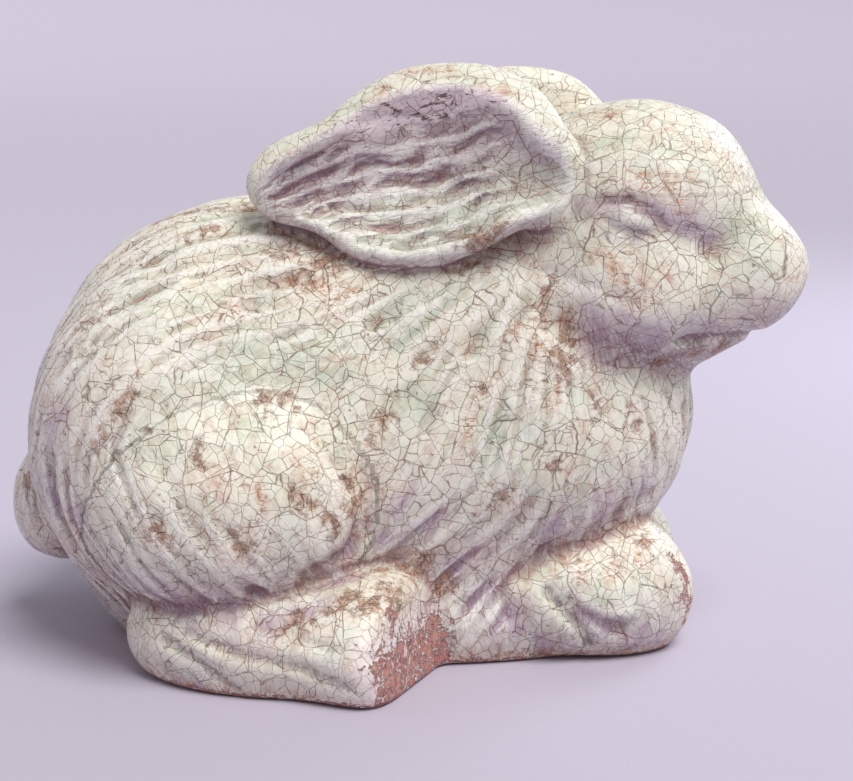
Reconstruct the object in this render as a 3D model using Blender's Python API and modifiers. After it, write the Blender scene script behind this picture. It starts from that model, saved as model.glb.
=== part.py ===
"""Crouching rabbit figurine in crackle-glazed terracotta, cast as one piece with a flat foot.

Metres, +Z up. The rabbit faces +X and its right side is at -Y. The origin is the middle of the foot.
The figure is modelled as a potter would: lumps of clay are laid out, worked into one skin, and then
carved with a gouge. Places and radii of the lumps are shares of the figure's length.
"""

import math
import random

import bmesh
import bpy
import numpy as np
from mathutils import Euler, Matrix
from mathutils.kdtree import KDTree

# Driving dimensions
LENGTH = 0.195  # tail to nose
PART = LENGTH / 195  # the lumps are laid out on a maquette 195 parts long
MIDDLE = (-3, 0, 0)  # of the foot, on the maquette; the figure is moved so that it stands there
GRAIN = 1.7  # how finely the skin is worked, in parts
TRIANGLES = 9500  # what is left of the skin when it is thinned out

HEAD_AT = (50, -8, 100)  # middle of the head, which turns about it
HEAD_TURN = -13  # degrees, towards the rabbit's right

# Each lump of clay: centre, radii, turn in degrees, and the softness of its join with those before it
BODY = {
    "rump": ((-31, 0, 46), (60, 45, 63), (0, 0, 0), 0),
    "back": ((-48, 0, 60), (41, 38, 44), (0, 0, 0), 6),
    "chest": ((27, 0, 57), (43, 39, 43), (0, 0, 0), 30),
    "neck": ((14, 0, 84), (36, 30, 30), (0, 0, 0), 16),
    "belly": ((0, 0, 8), (70, 36, 22), (0, 0, 0), 12),
    "tail": ((-85, 1, 34), (15, 14, 18), (0, 24, 0), 3),
}
LIMBS = {
    "thigh": ((-57, -21, 52), (33, 28, 36), (0, 0, 0), 12),
    "haunch": ((-41, -33, 42), (35, 26, 28), (0, -8, 0), 4),
    "forearm": ((40, -22, 14), (24, 14, 15), (0, 8, 4), 2),
    "wrist": ((48, -17, 18), (18, 13, 14), (0, 0, 0), 4),
    "paw": ((52, -18, 13), (17.5, 13, 17), (0, 0, 6), 4),
}
FOOT = {
    "heel": ((-36, -40, 9), (32, 17, 17), (0, 0, -16), 0),
    "toes": ((-8, -42, 9), (26, 23, 17), (0, 0, -20), 5),
}
TOE_END = (2, -46, 0)  # the toes stop at a face through here
TOE_FACES = (0.9, -0.42, 0.1)  # which looks this way
HEAD = {
    "skull": ((0, 0, 3), (30, 28, 28.5), (0, 0, 0), 0),
    "brow": ((10, 0, 8), (23, 24, 22), (0, 0, 0), 8),
    "muzzle": ((27, 0, -8), (17, 16, 15), (0, 10, 0), 9),
    "nose": ((33, 0, -5), (10, 10, 9), (0, 0, 0), 8),
    "chin": ((12, 0, -20), (20, 15, 13), (0, -20, 0), 8),
}
HEAD_PAIRED = {
    "cheek": ((2, -13, -11), (23, 17, 17), (0, 0, 0), 8),
}

# An ear is a leaf of clay with a scoop out of its outer face, in a frame of its own:
# x runs to the root, y inwards and z up across the leaf
EAR = {
    "blade": ((5, 0, -1), (31, 9, 23), (0, -10, 0), 0),
    "tip": ((-24, 0, -2), (15, 6, 11), (0, 0, 0), 6),
    "root": ((30, 5, -5), (10, 5, 12), (0, 0, 0), 6),
}
EAR_SCOOP = {
    "middle": ((3, -12, -5.5), (31, 14, 20.4), (0, -9, 0), 0),
    "end": ((-21, -9, -5), (15, 9, 6.5), (0, 0, 0), 6),
    "root": ((34, -9, -9.5), (16, 10.5, 9.5), (0, 0, 0), 6),
}
FLUTES = 4  # to each half of the scoop
FLUTE_RISE = 0.13  # they rise towards the root
FLUTE_DEPTH = 1.2
EARS = {
    "right": ((0, -25, 119), (-16, -6, -10)),
    "left": ((16, 22, 116), (18, -12, -4)),
}

# Marks pressed along a line: its points, width and depth; a raised one has a depth below zero
FACE_MARKS = {
    "socket": (((-8, -31, 12), (6, -30, 7.5), (24, -19, 0)), 5, 1.7),
    "eye": (((4.2, -27.6, 8), (9, -27.6, 6.2)), 2.5, -1.1),
    "mouth": (((19, -19, -21.5), (27, -13, -22), (33, -4.5, -22.5), (34, 0, -22.5)), 1.8, 1.3),
}
LIMB_MARKS = {
    "outer toe": (((32.7, -34, 18.5), (37, -35, 13.5), (41, -34.8, 9.5), (42.5, -33.2, 5)), 1.8, 1.3),
    "inner toe": (((38, -35, 16.5), (43.2, -35.3, 11.7), (50.3, -33.5, 9)), 2.6, 1.6),
    "over the paw": (((28, -34.5, 23), (36, -33, 27.5), (44, -31, 30.5), (51, -28, 34), (58, -24, 38)), 2.6, 2),
    "knee": (((-15, -49, 54), (-9.5, -46, 46), (-9.5, -45, 39), (-13.5, -45, 32.5), (-22, -50, 27.5)), 3, 2.3),
}

# The fur is gouged in strokes that run back from the neck, down the back and across the haunch
NECK_AT = (35, 112)  # in the side view
BACK_AT = (-27, 41)
STROKE = 5.4  # from one stroke to the next, in parts
STROKE_DEPTH = 1.55
REACH = 10  # steps of 2 parts that a stroke runs each way from its middle
# Where the fur is worn smooth: middle and reach in the side view, and how much of the stroke is gone
WORN = {
    "haunch": ((-33, 51), (23, 16), 0.97),
    "top of the haunch": ((-31, 64), (27, 11), 0.85),
    "flank": ((-2, 72), (24, 18), 0.45),
    "belly": ((12, 38), (24, 20), 0.45),
    "chest": ((45, 58), (22, 28), 0.75),
}
HAUNCH_LIE = (0.55, 0, -0.83)  # the way the fur lies on the haunch
SEEDS = 2400  # strokes that are tried; those too near another one are shortened or dropped
GROUND_MARGIN = 2  # the clay runs on below the foot and is cut off flat


def length(vectors):
    return np.sqrt(np.einsum("ij,ij->i", vectors, vectors))


def turned(degrees):
    return np.array(Euler([math.radians(d) for d in degrees]).to_matrix())


def ellipsoid(points, centre, radii, turn=(0, 0, 0)):
    """Distance to an ellipsoid's skin, below zero inside; near enough close to the skin."""
    local = (points - np.array(centre)) @ turned(turn)
    radii = np.array(radii)
    reach = length(local / radii)
    slope = np.maximum(length(local / radii**2), 1e-9)
    return reach * (reach - 1) / slope


def join(a, b, softness):
    """The union of two forms, with the crease between them filled over this width."""
    if not softness:
        return np.minimum(a, b)
    near = np.maximum(softness - abs(a - b), 0) / softness
    return np.minimum(a, b) - near * near * softness / 4


def cut_away(form, tool, softness):
    return -join(-form, tool, softness)


def lumps_of(table, side=-1):
    """The lumps of a table that is written for the right side, mirrored for the left one."""
    for (x, y, z), radii, (rx, ry, rz), softness in table.values():
        yield (x, y * -side, z), radii, (rx * -side, ry, rz * -side), softness


def clay(points, table, side=-1, form=None):
    for centre, radii, turn, softness in lumps_of(table, side):
        lump = ellipsoid(points, centre, radii, turn)
        form = lump if form is None else join(form, lump, softness)
    return form


def marked(form, points, table, side):
    """Presses the marks of a table into a form, close to each line."""
    points = points * (1, -side, 1)
    for path, width, depth in table.values():
        near = np.full(len(points), 1e6)
        for start, end in zip(path, path[1:]):
            start, run = np.array(start), np.array(end) - np.array(start)
            along = np.clip((points - start) @ run / (run @ run), 0, 1)
            near = np.minimum(near, length(points - start - along[:, None] * run))
        form = form + depth * np.exp(-((near / width) ** 2))
    return form


def in_frame(points, place, turn):
    return (points - np.array(place)) @ turned(turn)


def foot(points, side):
    end = (points * (1, -side, 1) - np.array(TOE_END)) @ np.array(TOE_FACES)
    return -join(-clay(points, FOOT, side), -end, 5)


def ear(points, name):
    """One leaf, fluted along its hollow; the flutes spread from the tip and close at the root."""
    place, turn = EARS[name]
    local = in_frame(points, place, turn)
    if name == "left":
        local = local * (1, -1, 1)
    scoop = clay(local, EAR_SCOOP)
    (middle, _, height), (reach, _, width), _, _ = EAR_SCOOP["middle"]
    leaf = np.sqrt(np.maximum(1 - ((local[:, 0] - middle) / (reach + 12)) ** 2, 0.05)) * width
    across = (local[:, 2] - height - FLUTE_RISE * (local[:, 0] - middle)) / leaf
    flute = abs(np.sin(across * math.pi * FLUTES)) * (abs(across) < 1)
    flute = flute * (1 - smooth(local[:, 0], 12, 27))
    return cut_away(clay(local, EAR), scoop - FLUTE_DEPTH * flute, 2)


def head(points):
    local = in_frame(points, HEAD_AT, (0, 0, HEAD_TURN))
    form = clay(local, HEAD)
    for side in (-1, 1):
        form = clay(local, HEAD_PAIRED, side, form)
    for side in (-1, 1):
        form = marked(form, local, FACE_MARKS, side)
    return form


def rabbit(points):
    """Distance to the figure's skin, in parts, for points in parts."""
    form = clay(points, BODY)
    for side in (-1, 1):
        form = clay(points, LIMBS, side, form)
        form = join(form, foot(points, side), 3)
        form = marked(form, points, LIMB_MARKS, side)
    form = join(form, head(points), 6)
    for name in EARS:
        form = join(form, ear(points, name), 3)
    return np.maximum(form, -GROUND_MARGIN - points[:, 2])


def skin_at(points, form):
    """The form's value at each point, and its gradient."""
    value = form(points)
    columns = [(form(points + axis) - value) / 0.02 for axis in np.eye(3) * 0.02]
    return value, np.stack(columns, axis=1)


def pulled(points, form, times):
    """The points, drawn on to the skin of a form."""
    for _ in range(times):
        value, slope = skin_at(points, form)
        step = value / np.maximum(length(slope) ** 2, 0.05)
        points = points - np.clip(step, -3, 3)[:, None] * slope
    return points


def smooth(value, low, high):
    share = np.clip((value - low) / (high - low), 0, 1)
    return share * share * (3 - 2 * share)


def unit(vectors):
    return vectors / np.maximum(length(vectors), 1e-9)[:, None]


def on_haunch(points):
    """1 on the haunch and fading off it."""
    mirrored = np.stack([points[:, 0], -abs(points[:, 1]), points[:, 2]], axis=1)
    centre, radii, turn, _ = LIMBS["haunch"]
    return 1 - smooth(ellipsoid(mirrored, centre, radii, turn), 0.5, 3)


def lie_of_fur(points):
    """The way the fur lies at each point, as a direction in the side view."""
    x, z = points[:, 0], points[:, 2]
    from_neck = unit(np.stack([x - NECK_AT[0], 0 * x, z - NECK_AT[1]], axis=1))
    from_neck[:, 0] -= 0.7 * (1 - smooth(z, 35, 55)) * (1 - smooth(x, 20, 40))
    round_back = unit(np.stack([-(z - BACK_AT[1]), 0 * x, x - BACK_AT[0]], axis=1))
    share = smooth(x, -48, -22)[:, None]
    lie = unit(from_neck * share + round_back * (1 - share))
    share = on_haunch(points)[:, None]
    return unit(lie * (1 - share) + np.array(HAUNCH_LIE) * share)


def fur_depth(points):
    """How deep the gouge goes, as a share: none on the head, ears, paws and foot."""
    depth = smooth(points[:, 2], 3, 9) * smooth(head(points), 1, 9)
    depth = depth * smooth(np.minimum(ear(points, "right"), ear(points, "left")), 0.5, 4)
    for side in (-1, 1):
        limbs = {name: LIMBS[name] for name in ("forearm", "wrist", "paw")}
        clear = np.minimum(clay(points, limbs, side), foot(points, side))
        depth = depth * smooth(clear, 0.3, 3)
    x, y, z = points.T
    for (middle, height), (reach, rise), share in WORN.values():
        depth = depth * (1 - share * np.exp(-(((x - middle) / reach) ** 2) - ((z - height) / rise) ** 2))
    return depth * (0.9 + 0.3 * np.sin(x / 9 + z / 14) * np.sin(y / 11 - z / 8 + 1))


def strokes():
    """Lines over the fur at an even spacing, as lists of points."""
    chance = random.Random(7)
    seeds = []
    for _ in range(SEEDS):
        seeds.append([chance.uniform(-96, 70), chance.uniform(-60, 60), chance.uniform(4, 112)])
    seeds = pulled(np.array(seeds), rabbit, 6)
    lines = [seeds]
    for way in (-1, 1):
        points = seeds
        for _ in range(REACH):
            slope = unit(skin_at(points, rabbit)[1])
            lie = lie_of_fur(points)
            lie = unit(lie - (lie * slope).sum(axis=1)[:, None] * slope)
            points = pulled(points + way * 2 * lie, rabbit, 1)
            lines.insert(0 if way < 0 else len(lines), points)
    lines = np.stack(lines, axis=1)
    kept = np.full((1, 3), 1e4)
    cut = []
    middle = lines.shape[1] // 2
    for line in lines:
        apart = length(kept)[:, None] ** 2 + length(line) ** 2 - 2 * kept @ line.T
        clear = apart.min(axis=0) > (STROKE * 0.82) ** 2
        if not clear[middle]:
            continue
        first, last = middle, middle
        while first > 0 and clear[first - 1]:
            first -= 1
        while last < len(line) - 1 and clear[last + 1]:
            last += 1
        if last - first < 6:
            continue
        line = line[first : last + 1]
        kept = np.concatenate([kept, line])
        cut.append(line)
    return cut


def carve(mesh):
    """Gouges the strokes into the skin, each one round in section and running out at its ends."""
    marks, depths = [], []
    hand = random.Random(3)  # no two strokes are pressed alike
    for line in strokes():
        places = np.arange(0, len(line) - 1, 0.25)
        before = places.astype(int)
        share = (places - before)[:, None]
        marks.append(line[before] * (1 - share) + line[before + 1] * share)
        ends = np.minimum(places, places[-1] - places) / 4
        depths.append(STROKE_DEPTH * max(hand.uniform(-0.2, 1.25), 0) * np.clip(ends, 0, 1))
    marks, depths = np.concatenate(marks), np.concatenate(depths)
    tree = KDTree(len(marks))
    for index, mark in enumerate(marks):
        tree.insert(mark, index)
    tree.balance()
    points = points_of(mesh)
    found = [tree.find(point) for point in points]
    near = np.array([distance for _, _, distance in found])
    depth = depths[[index for _, index, _ in found]] * fur_depth(points)
    scoop = np.maximum(1 - (near / (STROKE * 0.52)) ** 2, 0)
    points = points - unit(skin_at(points, rabbit)[1]) * (depth * scoop)[:, None]
    put_points(mesh, points)


def points_of(mesh):
    points = np.empty(len(mesh.vertices) * 3)
    mesh.vertices.foreach_get("co", points)
    return points.reshape(-1, 3) / PART


def put_points(mesh, points):
    mesh.vertices.foreach_set("co", (points * PART).ravel())
    mesh.update()


def frame_at(place, turn):
    return Matrix.Translation(place) @ Euler([math.radians(d) for d in turn]).to_matrix().to_4x4()


def laid_out():
    """All the lumps as balls in one mesh, not yet joined."""
    work = bmesh.new()
    still = Matrix.Identity(4)
    turned_head = frame_at(HEAD_AT, (0, 0, HEAD_TURN))
    lumps = [(lump, still) for lump in lumps_of(BODY)]
    lumps += [(lump, turned_head) for lump in lumps_of(HEAD)]
    for side in (-1, 1):
        lumps += [(lump, still) for lump in [*lumps_of(LIMBS, side), *lumps_of(FOOT, side)]]
        lumps += [(lump, turned_head) for lump in lumps_of(HEAD_PAIRED, side)]
    for place, turn in EARS.values():
        lumps += [(lump, frame_at(place, turn)) for lump in lumps_of(EAR)]
    for (centre, radii, turn, _), frame in lumps:
        matrix = Matrix.Scale(PART, 4) @ frame @ frame_at(centre, turn) @ Matrix.Diagonal((*radii, 1))
        bmesh.ops.create_icosphere(work, subdivisions=4, radius=1, matrix=matrix)
    mesh = bpy.data.meshes.new("rabbit_figurine")
    work.to_mesh(mesh)
    work.free()
    return mesh


def worked(obj, modifier_type, **settings):
    """Puts the result of a modifier in place of the object's mesh."""
    modifier = obj.modifiers.new(modifier_type.title(), modifier_type)
    for name, value in settings.items():
        setattr(modifier, name, value)
    graph = bpy.context.evaluated_depsgraph_get()
    mesh = bpy.data.meshes.new_from_object(obj.evaluated_get(graph))
    obj.modifiers.clear()
    obj.data = mesh


def cut_foot_flat(mesh):
    work = bmesh.new()
    work.from_mesh(mesh)
    everything = work.verts[:] + work.edges[:] + work.faces[:]
    cut = bmesh.ops.bisect_plane(
        work, geom=everything, plane_co=(0, 0, 0), plane_no=(0, 0, -1), clear_outer=True
    )
    rim = [item for item in cut["geom_cut"] if isinstance(item, bmesh.types.BMEdge)]
    bmesh.ops.contextual_create(work, geom=rim)
    bmesh.ops.triangulate(work, faces=work.faces[:])
    work.to_mesh(mesh)
    work.free()


def glazed_clay():
    material = bpy.data.materials.new("crackle_glaze")
    material.use_nodes = True
    shader = material.node_tree.nodes["Principled BSDF"]
    shader.inputs["Base Color"].default_value = (0.71, 0.68, 0.55, 1)
    shader.inputs["Roughness"].default_value = 0.35
    shader.inputs["Metallic"].default_value = 0
    return material


def main():
    for obj in list(bpy.data.objects):
        bpy.data.objects.remove(obj, do_unlink=True)
    collection = bpy.data.collections.new("rabbit_figurine")
    bpy.context.scene.collection.children.link(collection)
    obj = bpy.data.objects.new("rabbit_figurine", laid_out())
    collection.objects.link(obj)
    for times in (8, 3):
        worked(obj, "REMESH", mode="VOXEL", voxel_size=GRAIN * PART)
        put_points(obj.data, pulled(points_of(obj.data), rabbit, times))
    carve(obj.data)
    obj.data.calc_loop_triangles()
    worked(obj, "DECIMATE", ratio=min(1, TRIANGLES / len(obj.data.loop_triangles)))
    put_points(obj.data, points_of(obj.data) - np.array(MIDDLE))
    cut_foot_flat(obj.data)
    obj.data.materials.clear()
    obj.data.materials.append(glazed_clay())


main()
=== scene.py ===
import math
import random

import bmesh
import bpy
import numpy as np
from mathutils import Euler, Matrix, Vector
from mathutils.kdtree import KDTree


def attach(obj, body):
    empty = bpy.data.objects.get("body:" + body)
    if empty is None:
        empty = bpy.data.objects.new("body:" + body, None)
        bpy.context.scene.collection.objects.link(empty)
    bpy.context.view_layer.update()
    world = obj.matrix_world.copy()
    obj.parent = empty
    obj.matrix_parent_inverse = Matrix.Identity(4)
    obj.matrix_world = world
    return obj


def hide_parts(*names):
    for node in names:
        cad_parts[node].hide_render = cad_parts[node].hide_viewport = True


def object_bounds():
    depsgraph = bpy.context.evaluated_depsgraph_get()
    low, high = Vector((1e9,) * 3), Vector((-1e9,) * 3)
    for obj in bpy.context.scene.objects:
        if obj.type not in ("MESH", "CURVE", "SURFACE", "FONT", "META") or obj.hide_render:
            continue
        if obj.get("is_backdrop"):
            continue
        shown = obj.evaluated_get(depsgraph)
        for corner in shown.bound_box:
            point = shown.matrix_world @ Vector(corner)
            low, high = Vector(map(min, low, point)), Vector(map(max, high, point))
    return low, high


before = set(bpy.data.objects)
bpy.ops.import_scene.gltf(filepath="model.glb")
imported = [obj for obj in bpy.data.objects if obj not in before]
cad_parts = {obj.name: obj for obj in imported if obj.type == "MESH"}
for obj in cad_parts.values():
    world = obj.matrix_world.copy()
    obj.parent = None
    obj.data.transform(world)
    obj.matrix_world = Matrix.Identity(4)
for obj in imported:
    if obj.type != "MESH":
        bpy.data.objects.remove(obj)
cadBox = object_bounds()

# The figure is shaped on a maquette in millimetres, whose middle lies here
mm = 0.001
middle = (-3, 0, 0)

# Lumps of clay: centre, radii, turn in degrees, softness of the join with those before
clayLumps = {
    "body": {
        "rump": ((-31, 0, 46), (60, 45, 63), (0, 0, 0), 0),
        "back": ((-48, 0, 60), (41, 38, 44), (0, 0, 0), 6),
        "chest": ((27, 0, 57), (43, 39, 43), (0, 0, 0), 30),
        "neck": ((14, 0, 84), (36, 30, 30), (0, 0, 0), 16),
        "belly": ((0, 0, 8), (70, 36, 22), (0, 0, 0), 12),
        "tail": ((-85, 1, 34), (15, 14, 18), (0, 24, 0), 3),
    },
    "limbs": {
        "thigh": ((-57, -21, 52), (33, 28, 36), (0, 0, 0), 12),
        "haunch": ((-41, -33, 42), (35, 26, 28), (0, -8, 0), 4),
        "forearm": ((40, -22, 14), (24, 14, 15), (0, 8, 4), 2),
        "wrist": ((48, -17, 18), (18, 13, 14), (0, 0, 0), 4),
        "paw": ((52, -18, 13), (17.5, 13, 17), (0, 0, 6), 4),
    },
    "foot": {
        "heel": ((-36, -40, 9), (32, 17, 17), (0, 0, -16), 0),
        "toes": ((-8, -42, 9), (26, 23, 17), (0, 0, -20), 5),
    },
    "head": {
        "skull": ((0, 0, 3), (30, 28, 28.5), (0, 0, 0), 0),
        "brow": ((10, 0, 8), (23, 24, 22), (0, 0, 0), 8),
        "muzzle": ((27, 0, -8), (17, 16, 15), (0, 10, 0), 9),
        "nose": ((33, 0, -5), (10, 10, 9), (0, 0, 0), 8),
        "chin": ((12, 0, -20), (20, 15, 13), (0, -20, 0), 8),
    },
    "cheek": {
        "cheek": ((2, -13, -11), (23, 17, 17), (0, 0, 0), 8),
    },
    "ear": {
        "blade": ((5, 0, -1), (31, 9, 23), (0, -10, 0), 0),
        "tip": ((-24, 0, -2), (15, 6, 11), (0, 0, 0), 6),
        "root": ((30, 5, -5), (10, 5, 12), (0, 0, 0), 6),
    },
    "earScoop": {
        "middle": ((3, -12, -5.5), (31, 14, 20.4), (0, -9, 0), 0),
        "end": ((-21, -9, -5), (15, 9, 6.5), (0, 0, 0), 6),
        "root": ((34, -9, -9.5), (16, 10.5, 9.5), (0, 0, 0), 6),
    },
}
placing = {
    "headAt": (50, -8, 100),
    "headTurn": -13,
    "earRight": ((0, -25, 119), (-16, -6, -10)),
    "earLeft": ((16, 22, 116), (18, -12, -4)),
    "toeEnd": (2, -46, 0),
    "toeFaces": (0.9, -0.42, 0.1),
}
fluting = {
    "count": 4,  # grooves in either half of an ear's hollow
    "rise": 0.13,  # how they climb towards the root
    "depth": 1.2,
    "fade": (12, 27),  # where they run out on the way to the root
    "fineCount": 8,
    "fineDepth": 0.7,
}


def lengths(vectors):
    return np.sqrt(np.einsum("ij,ij->i", vectors, vectors))


def unit(vectors):
    return vectors / np.maximum(lengths(vectors), 1e-9)[:, None]


def smooth(value, low, high):
    share = np.clip((value - low) / (high - low), 0, 1)
    return share * share * (3 - 2 * share)


def turned(degrees):
    return np.array(Euler([math.radians(d) for d in degrees]).to_matrix())


def ellipsoid(points, centre, radii, turn=(0, 0, 0)):
    # distance to the skin of an ellipsoid, below zero inside
    local = (points - np.array(centre)) @ turned(turn)
    radii = np.array(radii)
    reach = lengths(local / radii)
    slope = np.maximum(lengths(local / radii**2), 1e-9)
    return reach * (reach - 1) / slope


def join(a, b, softness):
    if not softness:
        return np.minimum(a, b)
    near = np.maximum(softness - abs(a - b), 0) / softness
    return np.minimum(a, b) - near * near * softness / 4


def clay(points, table, side=-1, form=None):
    # the lumps are written for the right side; side 1 gives the left one
    for (x, y, z), radii, (rx, ry, rz), softness in clayLumps[table].values():
        lump = ellipsoid(points, (x, y * -side, z), radii, (rx * -side, ry, rz * -side))
        form = lump if form is None else join(form, lump, softness)
    return form


def nearLine(points, path):
    near = np.full(len(points), 1e6)
    for start, end in zip(path, path[1:]):
        start, run = np.array(start), np.array(end) - np.array(start)
        along = np.clip((points - start) @ run / (run @ run), 0, 1)
        near = np.minimum(near, lengths(points - start - along[:, None] * run))
    return near


def marked(form, points, table, side):
    # presses a line's mark into the form; a raised one has a depth below zero
    points = points * (1, -side, 1)
    for path, width, depth in table.values():
        form = form + depth * np.exp(-((nearLine(points, path) / width) ** 2))
    return form


# Marks of the modelling tool: points of the line, width, depth
faceMarks = {
    "socket": (((-8, -31, 12), (6, -30, 7.5), (24, -19, 0)), 5, 1.7),
    "eye": (((4.2, -27.6, 8), (9, -27.6, 6.2)), 2.5, -1.1),
    "mouth": (((19, -19, -21.5), (27, -13, -22), (33, -4.5, -22.5), (34, 0, -22.5)), 1.8, 1.3),
}
fineFaceMarks = {
    "upperLid": (
        ((-1, -26.4, 10.7), (2.3, -26.5, 11.2), (7.9, -26.4, 10.4), (11.5, -26, 8), (13.5, -25, 5)),
        1.2, 1.1,
    ),
    "lowerLid": (((0.6, -27.2, 7.4), (3.9, -27.8, 4.9), (8.4, -27.4, 3.6), (12, -26.2, 4)), 1.2, 0.75),
    "eyeball": (((3, -27.6, 7.7), (9.5, -27.4, 6.1)), 2.1, -0.6),
    "browFold": (((-5, -27, 17), (4, -26, 18.5), (13, -24, 15)), 2.6, 0.4),
    "overCheek": (((-13, -27.6, -5), (-7, -29.2, -6.6), (0, -30.2, -8.4), (8, -29.6, -11.5)), 1.6, 0.5),
    "cheekFold": (((-14, -27, -9.6), (-7, -29.2, -11), (0, -30.2, -13), (9, -28.6, -16.5)), 4.2, -0.65),
    "cheekCrease": (((-14, -26, -16), (-6, -28, -19), (3, -28, -21.5)), 2.4, 0.4),
    "lip": (((14, -21, -24), (22, -16, -25), (28, -11, -25.5), (34, -4, -25)), 1.8, -0.35),
    "mouthLine": (((16, -20.5, -21), (24, -15.5, -22), (30, -9, -22.5), (35, 0, -22)), 1.1, 1.0),
    "nostril": (((40.5, -5.5, -6), (41.5, -3, -8.5)), 1.3, 0.8),
    "noseSide": (((33, -11.5, -1), (37.5, -8.5, -4.5), (39, -7, -9)), 1.8, 0.45),
}
limbMarks = {
    "outerToe": (((32.7, -34, 18.5), (37, -35, 13.5), (41, -34.8, 9.5), (42.5, -33.2, 5)), 1.8, 1.3),
    "innerToe": (((38, -35, 16.5), (43.2, -35.3, 11.7), (50.3, -33.5, 9)), 2.6, 1.6),
    "overThePaw": (
        ((28, -34.5, 23), (36, -33, 27.5), (44, -31, 30.5), (51, -28, 34), (58, -24, 38)), 2.6, 2,
    ),
    "knee": (
        ((-15, -49, 54), (-9.5, -46, 46), (-9.5, -45, 39), (-13.5, -45, 32.5), (-22, -50, 27.5)), 3, 2.3,
    ),
}
fineLimbMarks = {
    "outerCleft": (((32.7, -34, 18.5), (37, -35, 13.5), (41, -34.8, 9.5), (42.5, -33.2, 5)), 1.1, 0.6),
    "toeRidge": (((34.5, -34.6, 18), (40, -35.6, 13), (44, -35, 8.5)), 1.1, -0.8),
    "toeCrest": (((39.5, -35, 17.5), (45, -35, 13.3), (53, -34, 12.5)), 1.3, -0.8),
    "frontCleft": (((62, -24, 24), (65.5, -22.5, 18), (66.5, -21.5, 10)), 1.3, 0.7),
    "heelStroke": (((-56, -49, 12), (-47.3, -54, 8.6), (-39.4, -55.2, 2.3)), 1.6, 0.9),
    "footStroke": (
        ((-50, -52, 14.5), (-38, -56.8, 11.3), (-24.2, -60.1, 9.4), (-13, -64, 5.8)), 1.6, 0.9,
    ),
    "toeStroke": (((-34, -56, 18), (-22, -60, 15.5), (-9, -62, 12)), 1.5, 0.7),
}


def inFrame(points, place, turn):
    return (points - np.array(place)) @ turned(turn)


def beyondToes(points, side):
    # distance past the flat end of the toes
    return (points * (1, -side, 1) - np.array(placing["toeEnd"])) @ np.array(placing["toeFaces"])


def foot(points, side):
    return -join(-clay(points, "foot", side), -beyondToes(points, side), 5)


def acrossEar(local):
    # -1 at the lower edge of the hollow, 1 at the upper one
    (x, y, z), (reach, deep, width), turn, softness = clayLumps["earScoop"]["middle"]
    leaf = np.sqrt(np.maximum(1 - ((local[:, 0] - x) / (reach + 12)) ** 2, 0.05)) * width
    return (local[:, 2] - z - fluting["rise"] * (local[:, 0] - x)) / leaf


def flutes(local, fine):
    # the hollow's grooves, which wander and come and go in the fine form
    across, x = acrossEar(local), local[:, 0]
    if fine:
        across = across + 0.05 * np.sin(x / 7.5 + 1) + 0.022 * np.sin(x / 2.3 + across * 6)
    flute = abs(np.sin(across * math.pi * fluting["count"])) * (abs(across) < 1)
    flute = flute * (1 - smooth(x, *fluting["fade"]))
    if fine:
        flute = flute * (0.8 + 0.3 * np.sin(x / 4.6 + across * 9) + 0.25 * np.sin(x / 1.7 - across * 14))
    return flute


def ear(points, name, fine=False):
    # a leaf, scooped out and fluted; x runs to the root and z across
    local = inFrame(points, *placing[name])
    if name == "earLeft":
        local = local * (1, -1, 1)
    scoop = clay(local, "earScoop")
    tool = scoop - fluting["depth"] * flutes(local, fine)
    if fine:  # ragged marks of a finer tool
        across, x = acrossEar(local), local[:, 0]
        sway = across + 0.05 * np.sin(x / 7) + 0.03 * np.sin(x / 2.3 + across * 7)
        inside = (1 - smooth(abs(across), 0.85, 1.0)) * (1 - smooth(x, 10, 30))
        patchy = 0.6 + 0.5 * np.sin(x / 5 + across * 9)
        marks = abs(np.sin(sway * math.pi * fluting["fineCount"])) - 0.5
        tool = tool - fluting["fineDepth"] * inside * patchy * marks
    shape = -join(-clay(local, "ear"), tool, 1.1 if fine else 2)
    if fine:  # the upper lip stands a little proud round the scoop
        proud = smooth(local[:, 2], -6, 6) * (local[:, 1] < 2)
        shape = shape - 0.5 * np.exp(-((scoop - 1.6) / 1.3) ** 2) * proud
    return shape


def head(points, fine=False):
    local = inFrame(points, placing["headAt"], (0, 0, placing["headTurn"]))
    form = clay(local, "head")
    for side in (-1, 1):
        form = clay(local, "cheek", side, form)
    for side in (-1, 1):
        form = marked(form, local, faceMarks, side)
        if fine:
            form = marked(form, local, fineFaceMarks, side)
    return form


def rabbit(points, fine=False):
    form = clay(points, "body")
    for side in (-1, 1):
        form = clay(points, "limbs", side, form)
        form = join(form, foot(points, side), 3)
        form = marked(form, points, limbMarks, side)
        if fine:
            form = marked(form, points, fineLimbMarks, side)
    form = join(form, head(points, fine), 6)
    for name in ("earRight", "earLeft"):
        form = join(form, ear(points, name, fine), 3)
    if fine:  # the foot's edge is wiped round
        return -join(-form, points[:, 2], 1.6)
    return np.maximum(form, -2 - points[:, 2])


def fineRabbit(points):
    return rabbit(points, True)


def skinAt(points, form):
    value = form(points)
    columns = [(form(points + axis) - value) / 0.02 for axis in np.eye(3) * 0.02]
    return value, np.stack(columns, axis=1)


def pulled(points, form, rounds, reach=3):
    # moves points on to the skin of a form
    for each in range(rounds):
        value, slope = skinAt(points, form)
        step = value / np.maximum(lengths(slope) ** 2, 0.05)
        points = points - np.clip(step, -reach, reach)[:, None] * slope
    return points


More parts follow.
